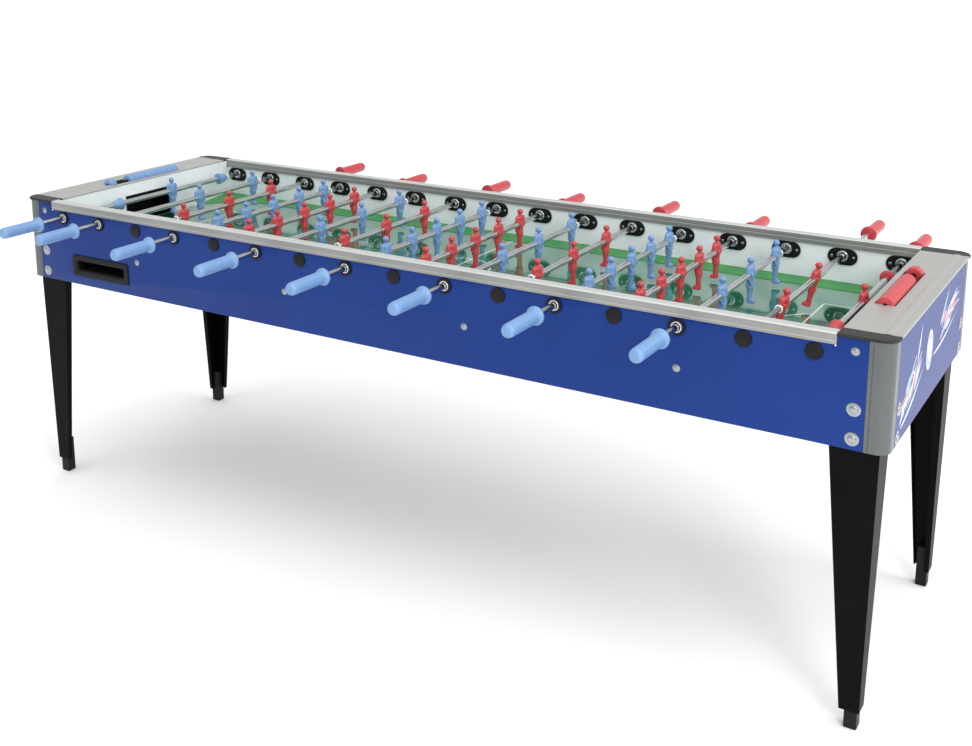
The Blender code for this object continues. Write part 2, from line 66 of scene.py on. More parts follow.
TRIM_OUT = 0.005
TOP_PLATE = 0.005
CAP_DEPTH = 0.04
CAP_LIP = 0.0012
GOAL_BOARD = 0.014
RAIL_INNER_Y = 0.37
POST_WIDTH = 0.05
POST_RADIUS = 0.03
ROD_COUNT = 16
ROD_PITCH = 0.15
ROD_Z = 0.852
TUBE_R = 0.008
INNER_R = 0.006
TUBE_END = 0.03  # of the tube beyond its outermost man
HANDLE_CLEAR = 0.435  # from the middle to the handle, with the rod pushed right in
CUP_X = 0.98
CUP_WIDTH = 0.232
CUP_BOTTOM = 0.682
CUP_TOP = 0.746
CUP_RIM = 0.02
CUP_DEPTH = 0.048
COUNTER_X = 1.2065
COUNTER_Z = 0.896
BEAD = 0.024  # pitch of the score rings
SLOT = (-0.155, 0.145)
SLOT_HALF_WIDTH = 0.0225
GOAL_HALF_WIDTH = 0.1
GOAL_TOP = 0.853
RAMP_WIDTH = 0.033
RAMP_RISE = 0.013
CORNER_RAMP = 0.15
ROD_KINDS = {
    "goalie": {"men": [0.0], "travel": 0.105, "outermost": 0.232},
    "two": {"men": [-0.127, 0.127], "travel": 0.205, "outermost": 0.127},
    "three": {"men": [-0.2, 0.0, 0.2], "travel": 0.135, "outermost": 0.2},
    "five": {"men": [-0.25, -0.125, 0.0, 0.125, 0.25], "travel": 0.085, "outermost": 0.25},
}
TEAM_KINDS = ["goalie", "two", "five", "three", "five", "three", "five", "three"]
TEAM_PLACES = [1, 2, 4, 6, 8, 10, 12, 14]
BLUE_PUSHED_IN = 0.05
LEANING_ROD = 15
LEAN = math.radians(12)
COLLAR_AT = 0.225

PLATE_SCREW = Vector((0.0285, 0.0038, -0.002))
LEG_BOLTS_X, LEG_BOLTS_Z = 1.2115, (0.742, 0.678)
POST_SCREW_X, POST_SCREW_Z = 1.208, 0.866
PANEL_SCREWS_X, PANEL_SCREW_Z = (0.28, 0.827), 0.757
END_BOLTS_Y, END_BOLTS_Z = (-0.325, 0.325), (0.735, 0.672)

CABINET = Matrix.Translation((0.0, CABINET_Y, 0.0))
HALF_TURN = Matrix.Rotation(math.pi, 4, "Z")
MIRROR_Y = Matrix.Scale(-1.0, 4, (0.0, 1.0, 0.0))


# ---------------------------------------------------------------- materials
EVEN = (1.0, 1.0, 1.0)


class Surface:
    """A Principled material with the few node chains that the table's surfaces share."""

    def __init__(self, name, roughness=0.4, metallic=0.0, **sockets):
        self.material = bpy.data.materials.new(name)
        self.material.use_nodes = True
        self.tree = self.material.node_tree
        self.shader = self.tree.nodes["Principled BSDF"]
        self.shader.inputs["Roughness"].default_value = roughness
        self.shader.inputs["Metallic"].default_value = metallic
        for socket, value in sockets.items():
            self.shader.inputs[socket.replace("_", " ")].default_value = value
        self.place = self.node("ShaderNodeTexCoord").outputs["Object"]

    def node(self, kind, settings=None, **links):
        made = self.tree.nodes.new(kind)
        for key, value in (settings or {}).items():
            setattr(made, key, value)
        for key, value in links.items():
            numbered = key[0] == "i" and key[1:].isdigit()
            socket = made.inputs[int(key[1:])] if numbered else made.inputs[key]
            if isinstance(value, bpy.types.NodeSocket):
                self.tree.links.new(value, socket)
            else:
                socket.default_value = value
        return made

    def noise(self, scale, stretch=EVEN):
        place = self.node("ShaderNodeMapping", Vector=self.place, Scale=stretch).outputs[0]
        return self.node("ShaderNodeTexNoise", Vector=place, Scale=scale, Detail=3.0).outputs["Fac"]

    def calc(self, operation, first, second=0.0, third=0.0):
        made = self.node("ShaderNodeMath", {"operation": operation}, i0=first, i1=second, i2=third)
        return made.outputs[0]

    def spread(self, value, low, high, start=0.3, end=0.7):
        """value between start and end, taken to low and high."""
        links = {"Value": value, "From Min": start, "From Max": end, "To Min": low, "To Max": high}
        return self.node("ShaderNodeMapRange", **links).outputs["Result"]

    def mix(self, factor, first, second):
        made = self.node("ShaderNodeMix", {"data_type": "RGBA"}, i0=factor)
        for index, colour in ((6, first), (7, second)):
            if isinstance(colour, bpy.types.NodeSocket):
                self.tree.links.new(colour, made.inputs[index])
            else:
                made.inputs[index].default_value = (*colour, 1.0)
        return made.outputs[2]

    def colour(self, output):
        self.tree.links.new(output, self.shader.inputs["Base Color"])
        return self

    def rough(self, output):
        self.tree.links.new(output, self.shader.inputs["Roughness"])
        return self

    def bump(self, height, distance):
        made = self.node("ShaderNodeBump", Height=height, Distance=distance, Strength=1.0)
        self.tree.links.new(made.outputs[0], self.shader.inputs["Normal"])
        return self


def varied(name, dark, light, roughness, grain, depth, metallic=0.0, patch=9.0, stretch=EVEN, **sockets):
    """A surface whose colour drifts in patches, with a fine grain in its gloss and relief."""
    made = Surface(name, metallic=metallic, **sockets)
    made.colour(made.mix(made.spread(made.noise(patch), 0.0, 1.0), dark, light))
    fine = made.noise(grain, stretch)
    made.rough(made.spread(fine, *roughness))
    made.bump(fine, depth)
    return made.material


def glass_print():
    """Green pitch printed under a glossy sheet: white lines, darker goal areas, a slightly uneven green."""
    sheet = {"Coat_Weight": 1.0, "Coat_IOR": 2.1, "Coat_Roughness": 0.012}
    made = Surface("pitch_under_glass", roughness=0.1, IOR=1.5, **sheet)
    axes = made.node("ShaderNodeSeparateXYZ", Vector=made.place)
    along = made.calc("ABSOLUTE", axes.outputs[0])
    across = made.calc("ABSOLUTE", axes.outputs[1])

    def band(value, centre, half):
        return made.calc("COMPARE", value, centre, half)

    def within(value, limit):
        return made.calc("LESS_THAN", value, limit)

    def beyond(value, limit):
        return made.calc("GREATER_THAN", value, limit)

    def both(*parts):
        return reduce(lambda total, part: made.calc("MULTIPLY", total, part), parts)

    def either(*parts):
        return reduce(lambda total, part: made.calc("MAXIMUM", total, part), parts)

    def distance(centre_x):
        offset = made.calc("SUBTRACT", along, centre_x)
        along_square, across_square = (made.calc("MULTIPLY", part, part) for part in (offset, across))
        return made.calc("SQRT", made.calc("ADD", along_square, across_square))

    line = 0.0022
    box_x, box_y = 0.98, 0.205
    area_x, area_y = 1.075, 0.125
    lines = either(
        within(along, line),
        band(distance(0.0), 0.105, line),
        within(distance(0.0), 0.007),
        both(band(along, box_x, line), within(across, box_y)),
        both(band(across, box_y, line), beyond(along, box_x)),
        both(band(along, area_x, line), within(across, area_y)),
        both(band(across, area_y, line), beyond(along, area_x)),
        both(band(distance(1.02), 0.11, line), within(along, box_x)),
    )
    area = both(beyond(along, box_x + 0.022), within(across, box_y - 0.012))
    wave = made.calc("SINE", made.calc("MULTIPLY", along, math.pi / ROD_PITCH))
    stripes = made.calc("GREATER_THAN", wave, 0.0)
    turf = made.mix(made.spread(made.noise(5.0), 0.0, 1.0), (0.008, 0.12, 0.062), (0.014, 0.16, 0.082))
    turf = made.mix(made.calc("MULTIPLY", stripes, 0.35), turf, (0.03, 0.23, 0.125))
    turf = made.mix(made.calc("MULTIPLY", area, 0.85), turf, (0.004, 0.07, 0.03))
    made.colour(made.mix(made.calc("MULTIPLY", lines, 0.92), turf, (0.78, 0.86, 0.82)))
    made.rough(made.spread(made.noise(60.0), 0.08, 0.16))
    return made.material


ALONG_X, ALONG_Y, ALONG_Z = (0.02, 1.0, 1.0), (1.0, 0.02, 1.0), (1.0, 1.0, 0.02)
DULL = {"Specular_IOR_Level": 0.16}
DULLEST = {"Specular_IOR_Level": 0.06}
BRUSHED = (160.0, 0.000003)  # grain and depth of drawn aluminium
TURNED = (600.0, 0.00002)  # the same for small turned and plated pieces
PRINT = ((0.3, 0.42), 900.0, 0.00003)  # roughness, grain and depth of the printed film
MATERIALS = {
    "laminate": varied(
        "royal_blue_laminate", (0.005, 0.029, 0.172), (0.0066, 0.034, 0.196), (0.3, 0.4), 1500.0, 0.00005,
        patch=3.0, **DULL),
    "white": varied("white_laminate", (0.76, 0.81, 0.82), (0.8, 0.84, 0.85), (0.22, 0.34), 900.0, 0.00004),
    "particle": varied(
        "board_edge", (0.2, 0.135, 0.075), (0.3, 0.21, 0.12), (0.7, 0.9), 700.0, 0.0004, patch=260.0),
    "black": varied(
        "black_moulding", (0.006, 0.006, 0.007), (0.01, 0.01, 0.011), (0.34, 0.52), 1400.0, 0.00006,
        **DULL),
    "cap": varied(
        "charcoal_moulding", (0.02, 0.02, 0.018), (0.028, 0.028, 0.026), (0.34, 0.5), 1600.0, 0.00008,
        **DULL),
    "steel": varied(
        "black_powder_coat", (0.0016, 0.0016, 0.0018), (0.003, 0.003, 0.0032), (0.36, 0.5), 1100.0, 0.0001,
        **DULLEST),
    # one anodised rail in two colours: the lighter first one is painted light on its top faces, the darker
    # second one painted shade on its side faces
    "rail": varied(
        "anodised_rail_painted_light_top", (0.5, 0.52, 0.5), (0.54, 0.56, 0.54), (0.37, 0.43), *BRUSHED, 0.35, 4.0, ALONG_X),
    "rail_painted_shade_side": varied(
        "anodised_rail_painted_shade_side", (0.27, 0.273, 0.258), (0.3, 0.304, 0.288), (0.37, 0.43), *BRUSHED, 0.55, 4.0,
        ALONG_X),
    "top": varied(
        "brushed_end_top", (0.44, 0.435, 0.415), (0.47, 0.465, 0.445), (0.37, 0.43), *BRUSHED, 0.55, 4.0,
        ALONG_Y),
    "post": varied(
        "anodised_post", (0.118, 0.126, 0.125), (0.134, 0.142, 0.141), (0.27, 0.32), *BRUSHED, 0.75, 6.0,
        ALONG_Z),
    "chrome": varied(
        "chromed_tube", (0.66, 0.67, 0.67), (0.74, 0.75, 0.75), (0.08, 0.16), 90.0, 0.00001, 1.0, 25.0,
        ALONG_Y),
    "rod": varied(
        "drawn_steel_rod", (0.34, 0.35, 0.36), (0.44, 0.45, 0.46), (0.18, 0.3), 160.0, 0.00001, 1.0, 25.0,
        ALONG_Y),
    "bolt": varied("zinc_plated", (0.3, 0.32, 0.33), (0.38, 0.4, 0.41), (0.14, 0.24), *TURNED, 1.0, 60.0),
    "ring": varied("polished_ring", (0.5, 0.52, 0.53), (0.58, 0.6, 0.61), (0.16, 0.26), *TURNED, 0.8, 60.0),
    "bush": varied("white_nylon", (0.76, 0.78, 0.77), (0.84, 0.85, 0.84), (0.3, 0.45), 500.0, 0.00002),
    "blue": varied(
        "periwinkle_plastic", (0.14, 0.262, 0.47), (0.165, 0.295, 0.525), (0.26, 0.38), 420.0, 0.00005,
        patch=30.0),
    "red": varied(
        "coral_red_plastic", (0.44, 0.042, 0.05), (0.51, 0.058, 0.066), (0.26, 0.38), 420.0, 0.00005,
        patch=30.0),
    "ramp": varied(
        "green_felt_strip", (0.045, 0.23, 0.07), (0.065, 0.29, 0.09), (0.5, 0.7), 1800.0, 0.0001,
        patch=20.0),
    "glass": glass_print(),
    "ink_white": varied("decal_white", (0.46, 0.5, 0.58), (0.62, 0.65, 0.72), *PRINT),
    "ink_red": varied("decal_red", (0.55, 0.045, 0.07), (0.66, 0.075, 0.1), *PRINT),
    "ink_green": varied("decal_green", (0.035, 0.33, 0.21), (0.06, 0.42, 0.29), *PRINT),
    "ink_violet": varied("decal_violet", (0.25, 0.22, 0.6), (0.33, 0.3, 0.7), *PRINT),
}


# ---------------------------------------------------------------- shape helpers
def link(name, data):
    obj = bpy.data.objects.new(name, data)
    bpy.context.scene.collection.objects.link(obj)
    return obj


def to_mesh(bm, name, smooth=40.0):
    bmesh.ops.recalc_face_normals(bm, faces=bm.faces)
    mesh = bpy.data.meshes.new(name)
    bm.to_mesh(mesh)
    bm.free()
    mesh.shade_smooth()
    mesh.set_sharp_from_angle(angle=math.radians(smooth))
    return mesh


def put_box(bm, x, y, z):
    size = Vector((x[1] - x[0], y[1] - y[0], z[1] - z[0]))
    centre = Vector((x[0] + x[1], y[0] + y[1], z[0] + z[1])) / 2
    bmesh.ops.create_cube(bm, size=1.0, matrix=Matrix.Translation(centre) @ Matrix.Diagonal(size).to_4x4())


def put_loft(bm, rings, closed=False):
    """Joins rings of equally many points; a closed loft meets itself, an open one gets end caps."""
    rows = [[bm.verts.new(point) for point in ring] for ring in rings]
    count = len(rows[0])
    pairs = list(zip(rows, rows[1:] + rows[:1])) if closed else list(zip(rows, rows[1:]))
    for first, second in pairs:
        for i in range(count):
            j = (i + 1) % count
            bm.faces.new((first[i], first[j], second[j], second[i]))
    if not closed:
        bm.faces.new(list(reversed(rows[0])))
        bm.faces.new(rows[-1])


def put_turned(bm, profile, sides, closed=False):
    """Turns (along, radius) points about the Y axis; a closed profile is the section of a ring."""
    rings = []
    for along, radius in profile:
        ring = []
        for i in range(sides):
            angle = 2 * math.pi * i / sides
            ring.append((radius * math.sin(angle), along, radius * math.cos(angle)))
        rings.append(ring)
    put_loft(bm, rings, closed)


def turned(name, profile, sides, smooth=40.0, closed=False):
    bm = bmesh.new()
    put_turned(bm, profile, sides, closed)
    return to_mesh(bm, name, smooth)


def absorb(bm, other):
    """Adds the other bmesh's faces to this one and frees the other."""
    spare = bpy.data.meshes.new("spare")
    other.to_mesh(spare)
    other.free()
    bm.from_mesh(spare)
    bpy.data.meshes.remove(spare)


def put_prism(bm, outline, start, end, axis):
    place = {
        "X": lambda a, b, c: (c, a, b),
        "Y": lambda a, b, c: (a, c, b),
        "Z": lambda a, b, c: (a, b, c),
    }[axis]
    put_loft(bm, [[place(a, b, c) for a, b in outline] for c in (start, end)])


def arc(centre, radius, start, end, steps):
    points = []
    for i in range(steps + 1):
        angle = math.radians(start + (end - start) * i / steps)
        points.append((centre[0] + radius * math.cos(angle), centre[1] + radius * math.sin(angle)))
    return points


def round_edges(bm, width, segments=3, sharper_than=30.0):
    """Rounds every edge at which the faces meet more sharply than that."""
    bmesh.ops.recalc_face_normals(bm, faces=bm.faces)
    limit = math.radians(sharper_than)
    edges = [e for e in bm.edges if len(e.link_faces) == 2 and e.calc_face_angle(0.0) > limit]
    settings = {"segments": segments, "profile": 0.5, "affect": "EDGES", "clamp_overlap": True}
    bmesh.ops.bevel(bm, geom=edges, offset=width, **settings)


def bake(obj):
    """The object's evaluated mesh; the object itself is removed."""
    bpy.context.view_layer.update()
    graph = bpy.context.evaluated_depsgraph_get()
    mesh = bpy.data.meshes.new_from_object(obj.evaluated_get(graph))
    mesh.name = obj.name
    bpy.data.objects.remove(obj, do_unlink=True)
    return mesh


def carved(mesh, cutter, name):
    """The mesh with the solids in the bmesh cut out of it."""
    body, tool = link(name, mesh), link(f"{name}_tool", to_mesh(cutter, f"{name}_tool"))
    modifier = body.modifiers.new("Cut", "BOOLEAN")
    modifier.operation = "DIFFERENCE"
    modifier.solver = "EXACT"
    modifier.object = tool
    made = bake(body)
    bpy.data.objects.remove(tool, do_unlink=True)
    made.shade_smooth()
    made.set_sharp_from_angle(angle=math.radians(40))
    return made


def mirrored(mesh):
    """The mesh for the other corner of the same end."""
    other = mesh.copy()
    other.transform(MIRROR_Y)
    other.flip_normals()
    return other


def two_surfaces(mesh, second):
    """Gives the faces whose normal passes the test the second surface, and the others the first."""
    mesh.materials.append(None)
    mesh.materials.append(None)
    for face in mesh.polygons:
        face.material_index = int(second(face.normal))


def piece(name, mesh, matrix, *surfaces, body="cabinet", flat=False, stands_for=()):
    """A visible piece on a body; its surfaces belong to the object, so that pieces can share a mesh."""
    obj = link(name, mesh)
    while len(mesh.materials) < len(surfaces):
        mesh.materials.append(None)
    for index, surface in enumerate(surfaces):
        obj.material_slots[index].link = "OBJECT"
        obj.material_slots[index].material = MATERIALS[surface]
    if flat:
        obj.modifiers.new("Normals", "WEIGHTED_NORMAL").keep_sharp = True
    obj.matrix_world = matrix
    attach(obj, body)
    if stands_for:
        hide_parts(*stands_for)


SIDES = (("front", CABINET), ("back", CABINET @ HALF_TURN))
ENDS = (("right", CABINET), ("left", CABINET @ HALF_TURN))


def rod_x(number):
    return (number - (ROD_COUNT + 1) / 2) * ROD_PITCH


# ---------------------------------------------------------------- side walls
def side_board():
    """Board of one side: white inside, with raised ends, a hole for each rod and one for the return cup."""
    half = HALF_LENGTH - POST_WIDTH - GAP
    outside, inside = -HALF_WIDTH, -HALF_WIDTH + BOARD
    step, under_rail, under_cap = GOAL_WALL_X + GAP, RAIL_BOTTOM - GAP, TOP - TOP_PLATE - GAP
    outline = [(-half, PANEL_BOTTOM), (half, PANEL_BOTTOM), (half, under_cap), (step, under_cap)]
    outline += [(step, under_rail), (-step, under_rail), (-step, under_cap), (-half, under_cap)]
    bm = bmesh.new()
    put_prism(bm, outline, outside, inside, "Y")
    round_edges(bm, 0.0009)
    through = (outside - 0.01, inside + 0.01)
    holes = bmesh.new()
    for number in range(1, ROD_COUNT + 1):
        radius = TUBE_R + 0.0012 if number in TEAM_PLACES else INNER_R + 0.0008
        hole = bmesh.new()
        put_turned(hole, [(y, radius) for y in through], 32)
        bmesh.ops.translate(hole, verts=hole.verts, vec=(rod_x(number), 0.0, ROD_Z))
        absorb(holes, hole)
    wall = CUP_RIM - 0.004
    x = (-CUP_X - CUP_WIDTH / 2 + wall, -CUP_X + CUP_WIDTH / 2 - wall)
    put_box(holes, x, through, (CUP_BOTTOM + wall, CUP_TOP - wall))
    mesh = carved(to_mesh(bm, "side_board"), holes, "side_board")
    while len(mesh.materials) < 3:
        mesh.materials.append(None)
    for face in mesh.polygons:  # 1 is the white inner face, 2 the raw edge of a hole
        x, y, z = face.center
        in_hole = abs(face.normal.y) < 0.1 and outside + 0.0015 < y < inside - 0.0015
        if face.normal.y > 0.9 and y > inside - 0.0005:
            face.material_index = 1
        elif in_hole and PANEL_BOTTOM + 0.01 < z < RAIL_BOTTOM - 0.002 and abs(x) < half - 0.01:
            face.material_index = 2
        else:
            face.material_index = 0
    return mesh


def passing_flange():
    """Black collar round a tube that goes through the wall; y = 0 is the face of the panel, -y outwards."""
    section = [(0.0, 0.0196), (-0.003, 0.02)]
    section += [(-0.0034 - b, 0.0184 + a) for a, b in arc((0, 0), 0.0016, 10, 85, 3)]
    section += [(-0.0046, 0.015), (-0.0034, 0.0138), (-0.0034, 0.0094), (0.0, 0.0094)]
    return turned("bearing_flange", section, 48, closed=True)


def flange_ring():
    """Bright ring in the middle of the collar."""
    section = [(-0.003, 0.0131), (-0.0048, 0.0131), (-0.0056, 0.0125), (-0.0058, 0.0114)]
    section += [(-0.0056, 0.0102), (-0.0046, 0.0092), (-0.003, 0.009)]
    return turned("bearing_ring", section, 48, 60.0, closed=True)


def closed_cap():
    """Black cap over the end of an inner rod, with a shallow groove round its middle."""
    profile = [(0.0, 0.0186), (-0.0022, 0.019), (-0.0036, 0.0186), (-0.0046, 0.0174), (-0.005, 0.0156)]
    profile += [(-0.0047, 0.014), (-0.005, 0.012), (-0.0055, 0.008), (-0.0058, 0.004), (-0.0059, 0.0006)]
    return turned("bearing_cap", profile, 48, 50.0)


def inner_plate():
    """Black plate on the inside of a wall, with rounded ends and a dish round the hole; +y is inwards."""
    half, straight, centre_z = 0.022, 0.017, -0.002
    bm = bmesh.new()
    outline = arc((straight, centre_z), half, -90, 90, 12) + arc((-straight, centre_z), half, 90, 270, 12)
    put_prism(bm, outline, 0.0, 0.004, "Y")
    round_edges(bm, 0.001, 3, 60.0)
    hole = bmesh.new()
    put_turned(hole, [(-0.01, 0.0094), (0.02, 0.0094)], 40)
    dish = bmesh.new()
    put_turned(dish, [(0.0028, 0.0175), (0.02, 0.0185)], 40)
    return carved(carved(to_mesh(bm, "plate"), hole, "plate"), dish, "bearing_plate")


def plate_ring():
    section = [(0.002, 0.015), (0.0048, 0.015), (0.0058, 0.0142), (0.006, 0.0128)]
    section += [(0.0056, 0.011), (0.0046, 0.0096), (0.002, 0.0093)]
    return turned("plate_ring", section, 48, 60.0, closed=True)


def screw_head(radius, rise, washer=0.0, crossed=True, sides=32):
    """Domed head along -y, with a cross slot if it has one and a washer under it if one is asked for."""
    under = 0.0013 if washer else 0.0
    profile = [(-under, radius)]
    for step in range(1, 9):
        angle = math.radians(11.25 * step)
        profile.append((-under - rise * math.sin(angle), max(radius * math.cos(angle), 0.0003)))
    mesh = turned("screw_head", profile, sides, 60.0)
    slot, reach = radius * 0.11, radius * 0.42
    for x, z in ((reach, slot), (slot, reach)) if crossed else ():
        cross = bmesh.new()
        put_box(cross, (-x, x), (-under - rise * 1.5, -under - rise * 0.62), (-z, z))
        mesh = carved(mesh, cross, "screw_head")
    if washer:
        bm = bmesh.new()
        bm.from_mesh(mesh)
        section = [(0.0, washer), (-0.0003, washer), (-0.0009, washer - 0.0014), (-under, washer - 0.004)]
        section += [(-under, radius * 0.6), (0.0, radius * 0.6)]
        put_turned(bm, section, sides, closed=True)
        mesh = to_mesh(bm, "bolt_head", 50.0)
    return mesh


def leg_bolt():
    return screw_head(0.0088, 0.0034, 0.015, crossed=False)


def rounded_rectangle(x, z, radius, y):
    left, right, bottom, top = x[0] + radius, x[1] - radius, z[0] + radius, z[1] - radius
    corners = arc((right, bottom), radius, -90, 0, 5) + arc((right, top), radius, 0, 90, 5)
    corners += arc((left, top), radius, 90, 180, 5) + arc((left, bottom), radius, 180, 270, 5)
    return [(a, y, b) for a, b in corners]


def return_cup():
    """Black moulded frame and pocket in which the ball comes back."""
    middle_x, middle_z = -CUP_X, (CUP_BOTTOM + CUP_TOP) / 2
    half_x, half_z = CUP_WIDTH / 2, (CUP_TOP - CUP_BOTTOM) / 2
    pocket = CUP_RIM - 0.0032
    rings = []
    # how far the ring lies inside the frame's edge, its depth behind the panel's face, its corner radius
    for inset, depth, radius in (
        (0.0002, 0.0, 0.005), (0.0, -0.0024, 0.005), (0.0006, -0.0034, 0.0046), (0.0018, -0.004, 0.004),
        (CUP_RIM - 0.006, -0.004, 0.008), (CUP_RIM - 0.0044, -0.0034, 0.0074),
        (CUP_RIM - 0.0012, 0.001, 0.0062), (CUP_RIM, 0.004, 0.0056), (CUP_RIM, CUP_DEPTH, 0.0056),
        (pocket, CUP_DEPTH, 0.0056), (pocket, 0.0, 0.0056),
    ):
        x = (middle_x - half_x + inset, middle_x + half_x - inset)
        z = (middle_z - half_z + inset, middle_z + half_z - inset)
        rings.append(rounded_rectangle(x, z, radius, -HALF_WIDTH + depth))
    bm = bmesh.new()
    put_loft(bm, rings, closed=True)
    return to_mesh(bm, "return_cup", 50.0)


def make_sides():
    board, flange, ring, cap = side_board(), passing_flange(), flange_ring(), closed_cap()
    plate, lip, cup = inner_plate(), plate_ring(), return_cup()
    small, tiny, large = screw_head(0.0068, 0.0026, 0.0088), screw_head(0.004, 0.0016), leg_bolt()
    inwards = Matrix.Translation((0.0, -HALF_WIDTH + BOARD, 0.0))
    outwards = Matrix.Translation((0.0, -HALF_WIDTH, 0.0))
    for side, base in SIDES:
        piece(f"{side}_board", board, base, "laminate", "white", "particle", stands_for=[f"{side}_panel"])
        piece(f"{side}_return_cup", cup, base, "black", flat=True)
        for number in range(1, ROD_COUNT + 1):
            at = Matrix.Translation((rod_x(number), 0.0, ROD_Z))
            label = f"{side}_{number:02d}"
            if number in TEAM_PLACES:
                piece(f"{label}_flange", flange, base @ outwards @ at, "black")
                piece(f"{label}_flange_ring", ring, base @ outwards @ at, "ring")
            else:
                piece(f"{label}_cap", cap, base @ outwards @ at, "black")
            piece(f"{label}_plate", plate, base @ inwards @ at, "black", flat=True)
            piece(f"{label}_plate_ring", lip, base @ inwards @ at, "ring")
            for sign, letter in ((-1, "a"), (1, "b")):
                screw = Matrix.Translation(PLATE_SCREW * Vector((sign, 1, 1))) @ HALF_TURN
                piece(f"{label}_plate_screw_{letter}", tiny, base @ inwards @ at @ screw, "bolt")
        bolts = [(sign * LEG_BOLTS_X, z, large) for sign in (-1, 1) for z in LEG_BOLTS_Z]
        bolts += [(sign * POST_SCREW_X, POST_SCREW_Z, small) for sign in (-1, 1)]
        bolts += [(sign * x, PANEL_SCREW_Z, small) for sign in (-1, 1) for x in PANEL_SCREWS_X]
        for count, (x, z, mesh) in enumerate(bolts, 1):
            place = outwards @ Matrix.Translation((x, 0.0, z))
            piece(f"{side}_bolt_{count:02d}", mesh, base @ place, "bolt")


# ---------------------------------------------------------------- ends
def end_board():
    half = HALF_WIDTH - POST_WIDTH - GAP
    bm = bmesh.new()
    put_box(bm, (HALF_LENGTH - BOARD, HALF_LENGTH), (-half, half), (PANEL_BOTTOM, TOP - TOP_PLATE - GAP))
    round_edges(bm, 0.0009)
    mesh = to_mesh(bm, "end_board")
    two_surfaces(mesh, lambda normal: normal.x < -0.9)
    return mesh


def goal_wall():
    half = HALF_WIDTH - BOARD - GAP
    bm = bmesh.new()
    put_box(bm, (GOAL_WALL_X, GOAL_WALL_X + GOAL_BOARD), (-half, half), (GLASS_BOTTOM, TOP - TOP_PLATE - GAP))
    mouth = bmesh.new()
    through = (GOAL_WALL_X - 0.01, GOAL_WALL_X + GOAL_BOARD + 0.01)
    put_box(mouth, through, (-GOAL_HALF_WIDTH, GOAL_HALF_WIDTH), (GLASS_TOP - 0.004, GOAL_TOP))
    return carved(to_mesh(bm, "goal_wall"), mouth, "goal_wall")


def mouth_lining():
    """Black lining of the goal mouth, with a narrow lip round it on the wall."""
    bm = bmesh.new()
    lip, sheet, slack = 0.0045, 0.0012, 0.0002
    y, top, bottom = GOAL_HALF_WIDTH, GOAL_TOP, GLASS_TOP + slack
    front, back = (GOAL_WALL_X - 0.001, GOAL_WALL_X), (GOAL_WALL_X, GOAL_WALL_X + GOAL_BOARD + 0.001)
    for x, outer in ((front, lip), (back, -slack)):
        put_box(bm, x, (-y - outer, -y + sheet), (bottom, top + outer))
        put_box(bm, x, (y - sheet, y + outer), (bottom, top + outer))
        put_box(bm, x, (-y + sheet, y - sheet), (top - sheet, top + outer))
    return to_mesh(bm, "mouth_lining")


def end_plate():
    """Brushed top of an end: a long ridge near its outer edge and the slot of the score counter."""
    x_in, x_out = GOAL_WALL_X + 0.0004, HALF_LENGTH + TRIM_OUT - 0.0005
    bottom, surface = TOP - TOP_PLATE + 0.0004, TOP - 0.0006
    ridge = HALF_LENGTH - 0.024
    section = [(x_in, bottom), (x_out, bottom), (x_out, surface - 0.0012), (x_out - 0.0012, surface)]
    for step in range(9):
        angle = math.pi * step / 8
        section.append((ridge + 0.008 * math.cos(angle), surface + 0.0015 * math.sin(angle)))
    section += [(x_in + 0.0012, surface), (x_in, surface - 0.0012)]
    half = HALF_WIDTH - CAP_DEPTH - 0.0002
    bm = bmesh.new()
    put_prism(bm, section, -half, half, "Y")
    slot = bmesh.new()
    x = (COUNTER_X - SLOT_HALF_WIDTH, COUNTER_X + SLOT_HALF_WIDTH)
    put_box(slot, x, SLOT, (TOP - 0.02, TOP + 0.02))
    return carved(to_mesh(bm, "end_plate", 30.0), slot, "end_plate")


def slot_edge():
    """Black edging of the slot with the two lugs that hold the guide rod."""
    bm = bmesh.new()
    x = (COUNTER_X - SLOT_HALF_WIDTH, COUNTER_X + SLOT_HALF_WIDTH)
    lug = (COUNTER_X - 0.011, COUNTER_X + 0.011)
    for y in ((SLOT[0] - 0.012, SLOT[0] - 0.0004), (SLOT[1] + 0.0004, SLOT[1] + 0.012)):
        put_box(bm, lug, y, (COUNTER_Z - 0.014, TOP - TOP_PLATE + GAP))
    put_box(bm, (x[0], x[0] + 0.0007), SLOT, (TOP - 0.016, TOP - 0.0003))
    put_box(bm, (x[1] - 0.0007, x[1]), SLOT, (TOP - 0.016, TOP - 0.0003))
    return to_mesh(bm, "slot_edge")


def guide_rod():
    bm = bmesh.new()
    put_turned(bm, [(SLOT[0] - 0.006, 0.005), (SLOT[1] + 0.006, 0.005)], 24)
    bmesh.ops.translate(bm, verts=bm.verts, vec=(COUNTER_X, 0.0, COUNTER_Z))
    return to_mesh(bm, "guide_rod")


def corner_cap():
    """Charcoal cap over the front corner: a plate with a soft upper edge and a lip outside the panels."""
    x_out, y_out = HALF_LENGTH + TRIM_OUT, HALF_WIDTH + TRIM_OUT
    radius = POST_RADIUS + TRIM_OUT
    centre = (x_out - radius, -y_out + radius)
    start, inner_y = GOAL_WALL_X + 0.0002, -HALF_WIDTH + CAP_DEPTH
    outer = [(x_out, inner_y)] + arc(centre, radius, 360, 270, 20) + [(start, -y_out)]
    inner = [(start, -HALF_WIDTH - GAP)] + arc(centre, POST_RADIUS + GAP, 270, 360, 20)
    level = TOP - TOP_PLATE
    bm = bmesh.new()
    put_prism(bm, outer + [(start, inner_y)], level, TOP, "Z")
    round_edges(bm, 0.002, 4, 60.0)
    lip = bmesh.new()
    put_prism(lip, outer + inner + [(HALF_LENGTH + GAP, inner_y)], level - CAP_LIP, level + 0.0022, "Z")
    round_edges(lip, 0.0006, 2, 60.0)
    absorb(bm, lip)
    return to_mesh(bm, "corner_cap")


